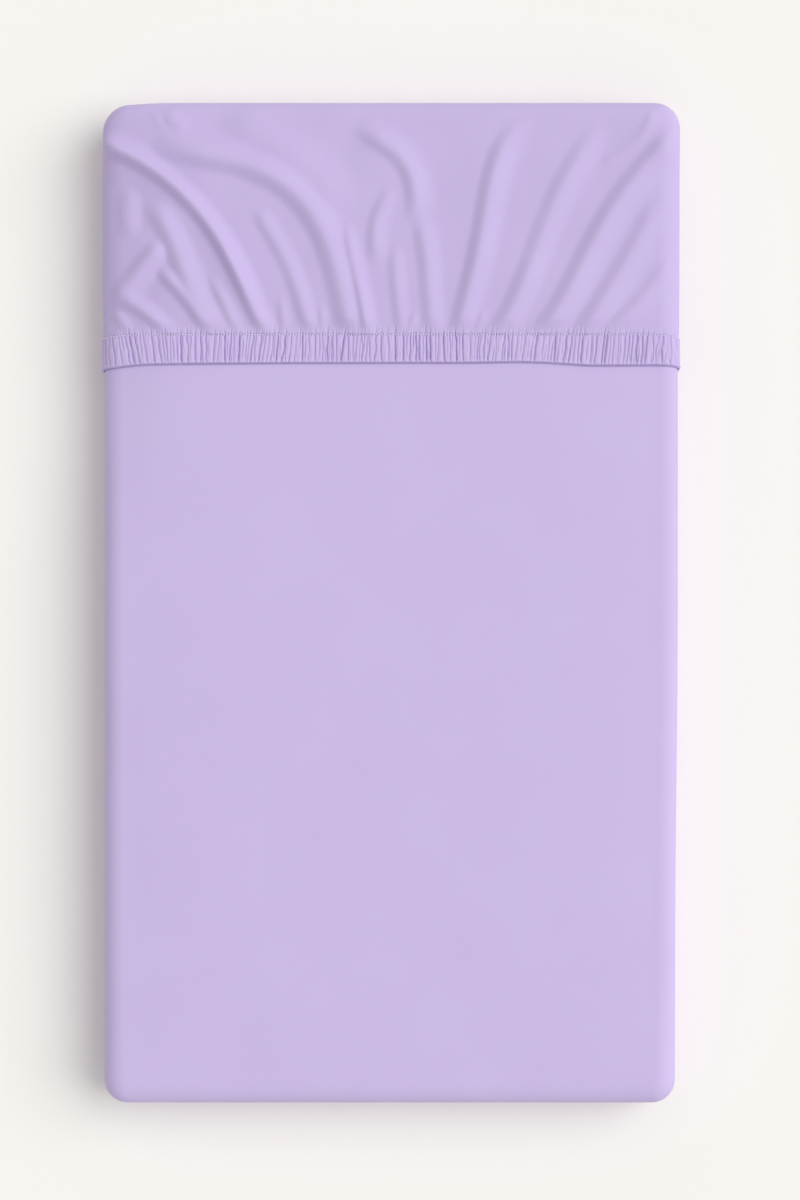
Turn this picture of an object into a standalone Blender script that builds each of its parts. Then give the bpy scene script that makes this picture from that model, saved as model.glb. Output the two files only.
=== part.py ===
"""Envelope fitted sheet on its bassinet mattress, lying flat on a surface.

The mattress lies in a smooth cloth sleeve that is closed at the foot.  At the head a slack hood
of the same cloth is turned over the sleeve's open end, and a ruched elastic band draws the hood's
mouth in, across the top and down both sides.

Metres, +Z up, +X the right-hand side and +Y the head end.  The origin is on the surface that the
mattress lies on, under the middle of the whole thing.  Every layer is a rounded box drawn round
one core box, so the layers run parallel: a layer's reach is how far out of the core it lies.
"""
import math
import random
from collections import namedtuple

import bpy
import numpy as np

# ---------------------------------------------------------------- driving dimensions
LENGTH = 0.838              # over everything, foot to head
WIDTH = 0.481               # over the sleeve
THICKNESS = 0.060           # surface to the sleeve's top, at its edges
CROWN = 0.003               # how much higher the top is in the middle
CROWN_POWER = 6             # 2 is an even dome, more keeps the middle flat
EDGE_RADIUS = 0.020         # of the sleeve's edges and of its corners seen from above, outside
BODY_SQUARENESS = 3.1       # 2 rounds an edge like a pipe, more keeps the top flat further out
HOOD_SQUARENESS = 2.2       # the slack hood pads its edges rounder
SQUARENESS_CHANGE = (0.185, 0.225)      # where along the sheet it changes from one to the other
CLOTH = 0.0015              # thickness of the sheet's cloth
GAP = 0.0003                # air between neighbouring pieces
PAD_ROUNDING = 0.006        # how much rounder the mattress's own edges are than the cloth's
FOOT_NARROWING = 0.0022     # how much the right side draws in towards the foot
NARROWING_RUN = 0.30        # the distance from the middle in which it does
CORNER_TRIM = 0.0017        # how far the head's left corner draws back towards the foot
CORNER_TRIM_RUN = 0.040     # the distance from the left side in which it does
HEAD_TRIM_RUN = 0.080       # and the distance from the head end

BAND_SEAM_Y = 0.2235        # the seam between hood and band, in the middle of the top
BAND_WIDTH = 0.0245         # the elastic band, seam to edge
BAND_DIP = 0.0045           # how far the band leans to the foot where it turns down the sides
DIP_START = 0.215           # distance from the middle, measured on the cloth, where it starts
DIP_RUN = 0.055             # and the distance in which it is reached
BAND_END_TURN = math.radians(50)    # how far round the bottom edge the band's ends are tucked
BAND_SIDE_FULLNESS = 0.15   # share of the band's fullness that is left down the sides
SLEEVE_MOUTH_Y = 0.330      # the sleeve's open end, under the hood
FOLD_FLATTEN = 0.012        # distance before the seam in which the folds are drawn flat
FOLD_LEFT_AT_SEAM = 0.25    # share of a fold's height that is left at the seam
FOLD_FADE = 0.7             # upward share of the cloth's facing below which the folds fade
SIDEWAYS_SHARE = 0.15       # how much of a fold's rise goes outwards where the cloth turns down

PLEAT_PITCH = 0.0067        # mean width of a gather in the band
PLEAT_UNEVEN = 0.25         # a gather is this share wider or narrower than the mean
PLEAT_HEIGHT = 0.0010       # full height of a gather
PLEAT_CRESTS = (0.7, 1.2)   # lowest and highest crest, as shares of it
PLEAT_VALLEYS = (0.0, 0.2)  # and the valleys between
PLEAT_SLANT = 0.10          # sideways lean of the gathers at the band's ends, per unit of width
PLEAT_SEED = 7

# Steps of the facets.  A quarter turn of a top edge has twice TOP_ARC_STEPS facets.
TOP_ARC_STEPS = 3
LOW_ARC_STEPS = 2
PAD_ARC_STEPS = 2
SLEEVE_STEPS_ACROSS = 10
SLEEVE_STEPS_ALONG = 12
CHANGE_STEPS = 4            # where the squareness changes
MOUTH_STEPS = 3             # from there to the sleeve's mouth
HOOD_STEPS_ACROSS = 70
HOOD_STEPS_ALONG = 27
FOLD_CURVE_STEPS = 64
TUCK_LIMIT = 0.999          # a lean of this much or more counts as a whole one

# ---------------------------------------------------------------- the hood's folds
# Each fold is a soft ridge.  Its five places, (across, along) in millimetres from the head towards
# the seam, lie on its steep flank.  Its width and its height at either end are in millimetres too,
# and so is the length in which it rises at its start.
Fold = namedtuple("Fold", "name start upper middle lower end width first_height last_height rise")
FOLDS = (
    Fold("left_corner_sweep",
         (-262, 395), (-205, 361), (-167, 327), (-140, 288), (-107, 220), 14, 10, 5.4, 12),
    Fold("left_long_arc",
         (-214, 385), (-159, 365), (-107, 348), (-64, 305), (-40, 221), 18, 9.0, 4.2, 80),
    Fold("left_middle",
         (-118, 333), (-103, 304), (-90, 280), (-80, 253), (-69, 221), 14, 3.6, 3.7, 24),
    Fold("left_narrow",
         (-43, 324), (-39, 296), (-34, 273), (-29, 250), (-25, 221), 10, 2.6, 5.0, 30),
    Fold("left_side_upper",
         (-212, 333), (-193, 311), (-183, 288), (-172, 258), (-150, 221), 18, 5.2, 4.6, 28),
    Fold("left_side_lower",
         (-200, 283), (-187, 266), (-177, 255), (-167, 242), (-151, 221), 12, 5.4, 5.4, 26),
    Fold("left_cross_roll",
         (-187, 307), (-203, 293), (-214, 280), (-225, 267), (-239, 249), 17, 5.0, 6.0, 20),
    Fold("centre_branch",
         (-3, 354), (-11, 333), (-17, 319), (-19, 304), (-20, 277), 13, 3.2, 3.0, 24),
    Fold("centre_hook",
         (-36, 396), (-8, 377), (6, 364), (14, 344), (15, 312), 16, 4.2, 5.2, 32),
    Fold("centre_lower",
         (11, 330), (19, 304), (24, 281), (27, 256), (31, 221), 15, 3.2, 3.8, 30),
    Fold("centre_short",
         (-1, 305), (0, 282), (1, 262), (3, 244), (5, 221), 12, 1.6, 2.8, 24),
    Fold("right_hook",
         (121, 408), (88, 381), (78, 351), (69, 302), (50, 221), 17, 4.6, 5.0, 36),
    Fold("right_middle",
         (172, 403), (143, 360), (126, 324), (107, 274), (79, 221), 18, 4.2, 5.0, 44),
    Fold("right_corner_sweep",
         (239, 402), (201, 360), (177, 327), (151, 279), (113, 221), 19, 6.4, 5.2, 30),
    Fold("right_side_upper",
         (228, 352), (214, 329), (201, 305), (184, 275), (151, 221), 16, 3.0, 5.2, 30),
    Fold("right_side_lower",
         (237, 291), (216, 269), (204, 254), (193, 243), (173, 221), 14, 3.0, 3.0, 24),
)
FLANK_PLACE = 0.34          # how far from the flank line the ridge lies, as a share of its width
STEEP_SHARE = 0.68          # the run of a ridge's steep left flank, as a share of its width
SOFT_SHARE = 0.74           # its gentle right flank
RISE_LIMIT = 0.5            # a fold rises within this share of its own length at most
FOLD_MEET = 3               # how crisply the higher of two meeting folds wins

# ---------------------------------------------------------------- worked out from them
MILLIMETRE = 0.001
TINY = 1e-9
SLEEVE_REACH = EDGE_RADIUS
HOOD_REACH = EDGE_RADIUS + GAP + CLOTH
BAND_REACH = EDGE_RADIUS + GAP
PAD_REACH = EDGE_RADIUS - CLOTH - GAP + PAD_ROUNDING

CORE_X = WIDTH / 2 - EDGE_RADIUS
CORE_FOOT = -LENGTH / 2 + SLEEVE_REACH
CORE_HEAD = LENGTH / 2 - HOOD_REACH
CORE_LOW = EDGE_RADIUS
CORE_TOP = THICKNESS - EDGE_RADIUS
WALL = CORE_TOP - CORE_LOW
QUARTER_TURN = math.pi / 2
EDGE_ARC = EDGE_RADIUS * QUARTER_TURN

LILAC = (0.594, 0.497, 0.784, 1.0)
LILAC_BAND = (0.560, 0.462, 0.752, 1.0)
PAD_WHITE = (0.86, 0.85, 0.82, 1.0)


# ---------------------------------------------------------------- small helpers
def clear_scene():
    for old in list(bpy.data.objects):
        bpy.data.objects.remove(old, do_unlink=True)


def cloth_material(name, colour, roughness):
    material = bpy.data.materials.new(name)
    material.use_nodes = True
    shader = material.node_tree.nodes["Principled BSDF"]
    shader.inputs["Base Color"].default_value = colour
    shader.inputs["Roughness"].default_value = roughness
    shader.inputs["Metallic"].default_value = 0.0
    return material


def add_object(name, points, faces, material):
    mesh = bpy.data.meshes.new(name)
    mesh.from_pydata([tuple(point) for point in points], [], faces)
    mesh.materials.append(material)
    mesh.shade_smooth()
    piece = bpy.data.objects.new(name, mesh)
    bpy.context.collection.objects.link(piece)
    return piece


def thicken_inward(piece):
    """Give an outer skin the cloth's thickness, to its inner side."""
    skin = piece.modifiers.new("cloth_thickness", "SOLIDIFY")
    skin.thickness = CLOTH
    skin.offset = -1
    skin.use_even_offset = True


def smooth_step(share):
    share = np.clip(share, 0.0, 1.0)
    return share * share * (3 - 2 * share)


def crown_at(x, y):
    """Height of the top's crown: full in the middle, nothing at the core's sides."""
    middle_y = (CORE_FOOT + CORE_HEAD) / 2
    half_y = (CORE_HEAD - CORE_FOOT) / 2
    across = np.clip(1 - (x / CORE_X) ** CROWN_POWER, 0, 1)
    along = np.clip(1 - ((y - middle_y) / half_y) ** CROWN_POWER, 0, 1)
    return CROWN * across * along


def squareness_at(y):
    """How square the edges' section is, at a place along the sheet."""
    start, end = SQUARENESS_CHANGE
    share = smooth_step((y - start) / (end - start))
    return BODY_SQUARENESS + (HOOD_SQUARENESS - BODY_SQUARENESS) * share


def edge_length(sideways, upward, power):
    """Length by which a direction is divided to land on an edge's section of that squareness."""
    return (np.abs(sideways) ** power + np.abs(upward) ** power) ** (1 / power)


def seam_dip(across):
    """How far the seam lies to the foot, at a distance from the middle along the cloth."""
    return BAND_DIP * smooth_step((np.abs(across) - DIP_START) / DIP_RUN)


# ---------------------------------------------------------------- a skin round the core box
def spread(low, high, steps):
    return [low + (high - low) * step / steps for step in range(steps + 1)]


def stations(flats, low_arc, high_arc):
    """Places along one axis, as (place on the core, lean past it).

    A lean of 1 is the direction halfway round an edge, where two sides of the skin meet.
    """
    def leans(steps):
        return [math.tan(math.pi / 4 * step / steps) for step in range(1, steps + 1)]

    low_end = [(flats[0], -lean) for lean in reversed(leans(low_arc))] if low_arc else []
    high_end = [(flats[-1], lean) for lean in leans(high_arc)] if high_arc else []
    return low_end + [(place, 0.0) for place in flats] + high_end


def box_skin(axes, keep):
    """Quads over the sides of a box of stations, turned outward, and the stations they use.

    keep(places, leans) says of a quad's four corners whether the quad stays.
    """
    corners = {}
    used = []
    faces = []

    def corner(key):
        if key not in corners:
            corners[key] = len(used)
            used.append([axes[axis][key[axis]] for axis in range(3)])
        return corners[key]

    for axis in range(3):
        first, second = (axis + 1) % 3, (axis + 2) % 3
        for end in (0, len(axes[axis]) - 1):
            for i in range(len(axes[first]) - 1):
                for j in range(len(axes[second]) - 1):
                    ring = []
                    for step_i, step_j in ((0, 0), (1, 0), (1, 1), (0, 1)):
                        key = [0, 0, 0]
                        key[axis] = end
                        key[first] = i + step_i
                        key[second] = j + step_j
                        ring.append(tuple(key))
                    values = np.array([[axes[a][key[a]] for a in range(3)] for key in ring])
                    if not keep(values[:, :, 0], values[:, :, 1]):
                        continue
                    if end == 0:
                        ring.reverse()
                    faces.append([corner(key) for key in ring])
    values = np.array(used)
    return values[:, :, 0], values[:, :, 1], faces


def push_out(core, leans, reach):
    """Corners of a skin at one reach from the core, and the way each of them faces."""
    sideways = np.hypot(leans[:, 0], leans[:, 1])
    power = squareness_at(core[:, 1])
    points = core + leans * (reach / edge_length(sideways, leans[:, 2], power))[:, None]
    points[:, 2] += crown_at(core[:, 0], core[:, 1]) * (leans[:, 2] > 0)
    flat_way = leans[:, :2] / np.maximum(sideways, TINY)[:, None]
    facing = np.empty_like(leans)
    facing[:, :2] = flat_way * (sideways ** (power - 1))[:, None]
    facing[:, 2] = np.sign(leans[:, 2]) * np.abs(leans[:, 2]) ** (power - 1)
    return points, facing / np.linalg.norm(facing, axis=1, keepdims=True)


def draw_in(points):
    """Draw the right side in a little towards the foot, and the head's left corner back."""
    right = np.clip(points[:, 0] / CORE_X, 0, 1)
    points[:, 0] -= FOOT_NARROWING * right * smooth_step(-points[:, 1] / NARROWING_RUN)
    headward = smooth_step((points[:, 1] - LENGTH / 2) / HEAD_TRIM_RUN + 1)
    left = smooth_step((-points[:, 0] - WIDTH / 2) / CORNER_TRIM_RUN + 1)
    points[:, 1] -= CORNER_TRIM * headward * left


# ---------------------------------------------------------------- the folds' relief
def fold_curve(fold):
    """The line of the fold's flank: a smooth curve through its five places, in metres."""
    places = np.array([fold.start, fold.upper, fold.middle, fold.lower, fold.end]) * MILLIMETRE
    stretch = np.linalg.norm(np.diff(places, axis=0), axis=1)
    marks = np.concatenate([[0], np.cumsum(stretch)]) / stretch.sum()
    steps = np.linspace(0, 1, FOLD_CURVE_STEPS)
    powers = [np.polyfit(marks, places[:, axis], len(places) - 1) for axis in (0, 1)]
    curve = np.stack([np.polyval(power, steps) for power in powers], axis=1)
    return steps, curve, np.gradient(curve, axis=0)


def bell(distance, width):
    return np.exp(-(distance / width) ** 2)


def one_fold(fold, spots):
    """Height of one fold at each spot."""
    width = fold.width * MILLIMETRE
    steps, curve, heading = fold_curve(fold)
    offset = spots[:, None, :] - curve[None, :, :]
    nearest = np.argmin((offset ** 2).sum(axis=2), axis=1)
    offset = offset[np.arange(len(spots)), nearest]
    ahead = heading[nearest]
    step = np.linalg.norm(ahead, axis=1)
    along = (offset * ahead).sum(axis=1) / step
    past_end = np.maximum(np.abs(along) - step, 0)
    aside = (ahead[:, 0] * offset[:, 1] - ahead[:, 1] * offset[:, 0]) / step
    aside -= FLANK_PLACE * width
    steep = 1 - smooth_step(-aside / (STEEP_SHARE * width))
    ridge = np.where(aside > 0, bell(aside, SOFT_SHARE * width), steep) * bell(past_end, width)
    share = np.clip(steps[nearest] + along / step * steps[1], 0, 1)
    length = np.linalg.norm(heading, axis=1).sum()
    rise = min(fold.rise * MILLIMETRE / length, RISE_LIMIT)
    ridge *= smooth_step(share / rise)
    if fold.end[1] * MILLIMETRE > BAND_SEAM_Y:
        ridge *= smooth_step((1 - share) / rise)
    height = fold.first_height + (fold.last_height - fold.first_height) * share
    return ridge * height * MILLIMETRE


def fold_height(spots):
    """Height of all the folds at each spot (across, along) of the laid-out cloth."""
    total = sum(one_fold(fold, spots) ** FOLD_MEET for fold in FOLDS)
    return total ** (1 / FOLD_MEET)


# ---------------------------------------------------------------- the pieces
def make_mattress(material):
    """Plain pad inside the sleeve: its faces lie a gap from the cloth, its edges are rounder."""
    across = spread(-CORE_X + PAD_ROUNDING, CORE_X - PAD_ROUNDING, SLEEVE_STEPS_ACROSS)
    start, end = SQUARENESS_CHANGE
    along = spread(CORE_FOOT + PAD_ROUNDING, start, SLEEVE_STEPS_ALONG)
    along += spread(start, end, CHANGE_STEPS)[1:]
    along += spread(end, CORE_HEAD - PAD_ROUNDING, MOUTH_STEPS + 1)[1:]
    upright = [CORE_LOW + PAD_ROUNDING, CORE_TOP - PAD_ROUNDING]
    axes = [stations(flats, PAD_ARC_STEPS, PAD_ARC_STEPS) for flats in (across, along, upright)]
    core, leans, faces = box_skin(axes, lambda places, leans: True)
    points, _ = push_out(core, leans, PAD_REACH)
    draw_in(points)
    return add_object("mattress", points, faces, material)


def make_sleeve(material):
    """Smooth sleeve round the mattress, open over the head end, where the hood covers it."""
    start, end = SQUARENESS_CHANGE
    along = spread(CORE_FOOT, start, SLEEVE_STEPS_ALONG) + spread(start, end, CHANGE_STEPS)[1:]
    along += spread(end, SLEEVE_MOUTH_Y, MOUTH_STEPS)[1:] + [CORE_HEAD]
    axes = (
        stations(spread(-CORE_X, CORE_X, SLEEVE_STEPS_ACROSS), TOP_ARC_STEPS, TOP_ARC_STEPS),
        stations(along, TOP_ARC_STEPS, TOP_ARC_STEPS),
        stations([CORE_LOW, CORE_TOP], LOW_ARC_STEPS, TOP_ARC_STEPS),
    )

    def closed_part(places, leans):
        past_mouth = places[:, 1].min() >= SLEEVE_MOUTH_Y
        above_low_edge = leans[:, 2].min() >= 0
        return not (past_mouth and above_low_edge)

    core, leans, faces = box_skin(axes, closed_part)
    points, _ = push_out(core, leans, SLEEVE_REACH)
    draw_in(points)
    piece = add_object("sheet_sleeve", points, faces, material)
    thicken_inward(piece)
    return piece


def laid_out(core, leans):
    """Where each corner would lie if the hood's cloth were spread flat round its top."""
    outward = leans / np.linalg.norm(leans, axis=1, keepdims=True)
    sideways = np.hypot(outward[:, 0], outward[:, 1])
    turn = np.arctan2(sideways, outward[:, 2])
    drop = EDGE_RADIUS * turn + np.where(turn >= QUARTER_TURN, CORE_TOP - core[:, 2], 0)
    direction = outward[:, :2] / np.maximum(sideways, TINY)[:, None]
    return core[:, :2] + direction * drop[:, None]


def make_hood(material):
    """Slack hood over the head end, its lower rim tucked round the bottom edge."""
    seam = BAND_SEAM_Y + GAP
    axes = (
        stations(spread(-CORE_X, CORE_X, HOOD_STEPS_ACROSS), TOP_ARC_STEPS, TOP_ARC_STEPS),
        stations(spread(seam, CORE_HEAD, HOOD_STEPS_ALONG), 0, TOP_ARC_STEPS),
        stations([CORE_LOW, CORE_TOP], LOW_ARC_STEPS, TOP_ARC_STEPS),
    )
    tuck_lean = math.tan(math.pi / 4 * 2 / TOP_ARC_STEPS) * TUCK_LIMIT

    def hood_part(places, leans):
        if leans[:, 2].max() < -TUCK_LIMIT:
            tucked_side = np.abs(leans[:, 0]).min() >= tuck_lean
            tucked_head = leans[:, 1].min() >= tuck_lean
            return tucked_side or tucked_head
        mouth = places[:, 1].max() <= seam and leans[:, 1].max() <= 0
        return not mouth

    core, leans, faces = box_skin(axes, hood_part)
    points, facing = push_out(core, leans, HOOD_REACH)
    draw_in(points)
    spots = laid_out(core, leans)
    from_seam = core[:, 1] - seam
    share_of_hood = from_seam / (CORE_HEAD - seam)
    flatten = smooth_step(from_seam / FOLD_FLATTEN)
    held = FOLD_LEFT_AT_SEAM + (1 - FOLD_LEFT_AT_SEAM) * flatten
    on_top = smooth_step(facing[:, 2] / FOLD_FADE) ** 2
    raised = fold_height(spots) * held * on_top
    points += facing * (SIDEWAYS_SHARE, SIDEWAYS_SHARE, 1) * raised[:, None]
    points[:, 1] -= seam_dip(spots[:, 0]) * (1 - share_of_hood)
    piece = add_object("sheet_hood", points, faces, material)
    thicken_inward(piece)
    return piece


def around(across, reach, y):
    """The point at a distance from the middle along the section, at a reach from the core."""
    side = 1 if across >= 0 else -1
    rest = abs(across) - CORE_X
    if rest <= 0:
        return across, y, CORE_TOP + reach + float(crown_at(across, y))
    if EDGE_ARC < rest <= EDGE_ARC + WALL:
        return side * (CORE_X + reach), y, CORE_TOP - (rest - EDGE_ARC)
    turn = min(rest, EDGE_ARC) / EDGE_RADIUS + max(rest - EDGE_ARC - WALL, 0) / EDGE_RADIUS
    outward, upward = math.sin(turn), math.cos(turn)
    stretch = reach / float(edge_length(outward, upward, squareness_at(y)))
    level = CORE_TOP if rest <= EDGE_ARC else CORE_LOW
    return side * (CORE_X + outward * stretch), y, level + upward * stretch


# The band's section: (share of its width from the seam, height, share of a gather's height).
BandRow = namedtuple("BandRow", "share height gather")
BAND_ROWS = (
    BandRow(0.00, 0.0015, 0.2),
    BandRow(0.14, 0.0023, 0.8),
    BandRow(0.50, 0.0026, 1.0),
    BandRow(0.86, 0.0024, 0.9),
    BandRow(1.00, 0.0012, 0.3),
    BandRow(1.00, 0.0, 0.0),
    BandRow(0.50, 0.0, 0.0),
    BandRow(0.00, 0.0, 0.0),
)


def pleat_columns(half):
    """Crests and valleys of the gathers along the band, as (across, height)."""
    rolls = random.Random(PLEAT_SEED)
    columns = [(-half, 0.0)]
    place = -half
    while place < half - PLEAT_PITCH:
        width = PLEAT_PITCH * (1 + PLEAT_UNEVEN * rolls.uniform(-1, 1))
        columns.append((place + width / 2, PLEAT_HEIGHT * rolls.uniform(*PLEAT_CRESTS)))
        columns.append((place + width, PLEAT_HEIGHT * rolls.uniform(*PLEAT_VALLEYS)))
        place += width
    return columns[:-1] + [(half, 0.0)]


def make_band(material):
    """Ruched elastic band: a closed strip over the top and down both sides."""
    half = CORE_X + EDGE_ARC + WALL + EDGE_RADIUS * BAND_END_TURN
    columns = pleat_columns(half)
    points = []
    for across, height in columns:
        turned = float(smooth_step((abs(across) - CORE_X) / EDGE_ARC))
        fullness = 1 - (1 - BAND_SIDE_FULLNESS) * turned
        for row in BAND_ROWS:
            lean = PLEAT_SLANT * across / half * (row.share - 0.5) * BAND_WIDTH
            place = across - lean * (1 - turned)
            y = BAND_SEAM_Y - row.share * BAND_WIDTH - float(seam_dip(place))
            full = row.height + height * row.gather
            thin = min(full, BAND_ROWS[0].height)
            points.append(around(place, BAND_REACH + thin + (full - thin) * fullness, y))
    count = len(BAND_ROWS)
    faces = [list(range(count - 1, -1, -1)), list(range(len(points) - count, len(points)))]
    for column in range(len(columns) - 1):
        for row in range(count):
            here = column * count + row
            beside = column * count + (row + 1) % count
            faces.append([here, beside, beside + count, here + count])
    return add_object("elastic_band", points, faces, material)


def main():
    clear_scene()
    lilac = cloth_material("lilac_cotton", LILAC, 0.85)
    band = cloth_material("lilac_ruching", LILAC_BAND, 0.85)
    pad = cloth_material("mattress_ticking", PAD_WHITE, 0.9)
    make_mattress(pad)
    make_sleeve(lilac)
    make_hood(lilac)
    make_band(band)


main()
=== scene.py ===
# %% [markdown]
# # A hooded fitted sheet on its bassinet mattress
#
# The real thing is a lilac cotton sheet for a small foam mattress.  A smooth sleeve goes round the
# mattress and is closed at the foot.  At the head a slack hood of the same cloth is turned over
# the sleeve's open end, and a ruched elastic band draws the hood's mouth in.  The mattress lies
# flat, and we look straight down on it.
#
# The measured model comes first.  It holds the true sizes, so every size below is either read from
# it or is a small detail of the cloth that it is too coarse to show.

# %% Load the measured model
import math
import random

import bpy
import numpy as np
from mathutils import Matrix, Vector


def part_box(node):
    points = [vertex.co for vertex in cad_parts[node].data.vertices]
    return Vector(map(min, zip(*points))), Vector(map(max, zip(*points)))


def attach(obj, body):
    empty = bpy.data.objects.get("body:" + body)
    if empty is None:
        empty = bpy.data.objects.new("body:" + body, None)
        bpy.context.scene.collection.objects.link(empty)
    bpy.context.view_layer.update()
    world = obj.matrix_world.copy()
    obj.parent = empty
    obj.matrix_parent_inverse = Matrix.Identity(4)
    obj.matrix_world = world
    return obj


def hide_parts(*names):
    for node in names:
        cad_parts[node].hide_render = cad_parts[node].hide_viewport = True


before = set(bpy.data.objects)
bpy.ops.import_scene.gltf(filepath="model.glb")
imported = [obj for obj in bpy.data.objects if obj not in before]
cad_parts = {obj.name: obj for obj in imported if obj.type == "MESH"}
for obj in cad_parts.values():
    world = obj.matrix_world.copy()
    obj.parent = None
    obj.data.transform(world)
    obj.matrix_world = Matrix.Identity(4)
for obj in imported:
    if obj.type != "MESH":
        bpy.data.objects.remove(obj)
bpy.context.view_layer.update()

MILLIMETRE = 0.001
sleeve_low, sleeve_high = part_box("sheet_sleeve")
hood_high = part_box("sheet_hood")[1]
band_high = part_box("elastic_band")[1]
pad_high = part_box("mattress")[1]

# %% [markdown]
# ## One core box under every layer
#
# Mattress, sleeve, hood and band are all the same rounded box, each a little further out than the
# one below.  So we keep one plain box inside them all, the core, and describe a layer by its
# reach: how far out of the core it lies.  Pushed out by its reach, a sharp box gets rounded edges
# and corners by itself, and two layers with different reaches never touch.
#
# Blender's Bevel modifier on a cube would round the edges too, but its points are hard to find
# again afterwards.  Here every point knows where it sits on the cloth, which is what the folds,
# the gathers and the weave need later.
#
# Real cloth on real foam is never quite regular.  The top is a little fuller in the middle, the
# left edge sags by the hood, the right side draws in towards the foot, and the head's left corner
# pulls back.  These are small shifts that every layer shares, so the layers stay apart.

# %% Measure the core
EDGE_RADIUS = 0.020         # of the sleeve's corners, seen from above
THICKNESS = 0.060           # surface to the sleeve's top, at its edges

CORE_X = sleeve_high.x - EDGE_RADIUS
CORE_FOOT = sleeve_low.y + EDGE_RADIUS
HOOD_REACH = hood_high.x - CORE_X
CORE_HEAD = hood_high.y - HOOD_REACH
CORE_LOW = EDGE_RADIUS
CORE_TOP = THICKNESS - EDGE_RADIUS
WALL = CORE_TOP - CORE_LOW
QUARTER_TURN = math.pi / 2
EDGE_ARC = EDGE_RADIUS * QUARTER_TURN
SEAM_Y = band_high.y        # the hood's mouth, in the middle of the top
print("core half width", round(CORE_X, 4), "from", round(CORE_FOOT, 4), "to", round(CORE_HEAD, 4))


# %% Helpers: two soft curves
def smooth_step(share):
    """0 to 1 with a soft start and a soft end."""
    share = np.clip(share, 0.0, 1.0)
    return share * share * (3 - 2 * share)


def bell(distance, width):
    """1 at no distance, and about a third one width away."""
    return np.exp(-(distance / width) ** 2)


# %% The crown of the top, and the sag of its left edge
CROWN = sleeve_high.z - THICKNESS
CROWN_POWER = 6             # 2 is an even dome, more keeps the middle flat
SAG = 0.0035                # how far the left edge sags by the hood and the band
SAG_START = 0.172           # across, from the middle
SAG_ALONG = (0.05, 0.20)    # along the sheet, where it starts and where it is whole
print("crown", round(CROWN / MILLIMETRE, 1), "mm, sag", round(SAG / MILLIMETRE, 1), "mm")


def crown_at(x, y):
    """Height of the top's gentle crown: foam pushes the middle up, mostly near the edges."""
    middle_y = (CORE_FOOT + CORE_HEAD) / 2
    half_y = (CORE_HEAD - CORE_FOOT) / 2
    across = np.clip(1 - (x / CORE_X) ** CROWN_POWER, 0, 1)
    along = np.clip(1 - ((y - middle_y) / half_y) ** CROWN_POWER, 0, 1)
    return CROWN * across * along


def sag_at(x, y):
    """How far the slack left edge sags, at a place seen from above."""
    outward = np.clip((-x - SAG_START) / (CORE_X - SAG_START), 0, None) ** 2
    return SAG * outward * smooth_step((y - SAG_ALONG[0]) / (SAG_ALONG[1] - SAG_ALONG[0]))


# %% How square the edges are
BODY_SQUARENESS = 3.1       # 2 rounds an edge like a pipe, more keeps the top flat further out
SOFT_SQUARENESS = 2.4       # the sleeve's left side and its foot are rounder
FOOT_RUN = 0.10             # the distance from the foot in which they get so
HOOD_SQUARENESS = 2.2       # the slack hood pads its sides rounder
HEAD_SQUARENESS = 2.9       # and stays squarer over the head end
HEAD_RUN = 0.05             # the distance from the head in which it gets so
SQUARENESS_CHANGE = (0.185, 0.225)      # where along the sheet sleeve turns to hood


def squareness_at(x, y):
    """How square the edge's section is, at a place on the core."""
    change = SQUARENESS_CHANGE[1] - SQUARENESS_CHANGE[0]
    hooded = smooth_step((y - SQUARENESS_CHANGE[0]) / change)
    softened = np.maximum(smooth_step(-x / CORE_X), smooth_step((CORE_FOOT - y) / FOOT_RUN + 1))
    body = BODY_SQUARENESS + (SOFT_SQUARENESS - BODY_SQUARENESS) * softened
    headed = smooth_step((y - CORE_HEAD) / HEAD_RUN + 1)
    hood = HOOD_SQUARENESS + (HEAD_SQUARENESS - HOOD_SQUARENESS) * headed
    return body + (hood - body) * hooded


squareness_along = [round(float(squareness_at(0, y)), 2) for y in (CORE_FOOT, 0, CORE_HEAD)]
print("squareness at the foot, the middle and the head", squareness_along)

# %% Helpers: a skin of quads round the core
def stations(flats, low_arc, high_arc):
    """Places along one axis, as (place on the core, lean past it).

    Along the flat stretch the lean is 0.  Round an edge it grows to 1, halfway round, where the
    next side of the box takes over.
    """
    def leans(steps):
        return [math.tan(math.pi / 4 * step / steps) for step in range(1, steps + 1)]

    low_end = [(flats[0], -lean) for lean in reversed(leans(low_arc))] if low_arc else []
    high_end = [(flats[-1], lean) for lean in leans(high_arc)] if high_arc else []
    return np.array(low_end + [(place, 0.0) for place in flats] + high_end)


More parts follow.
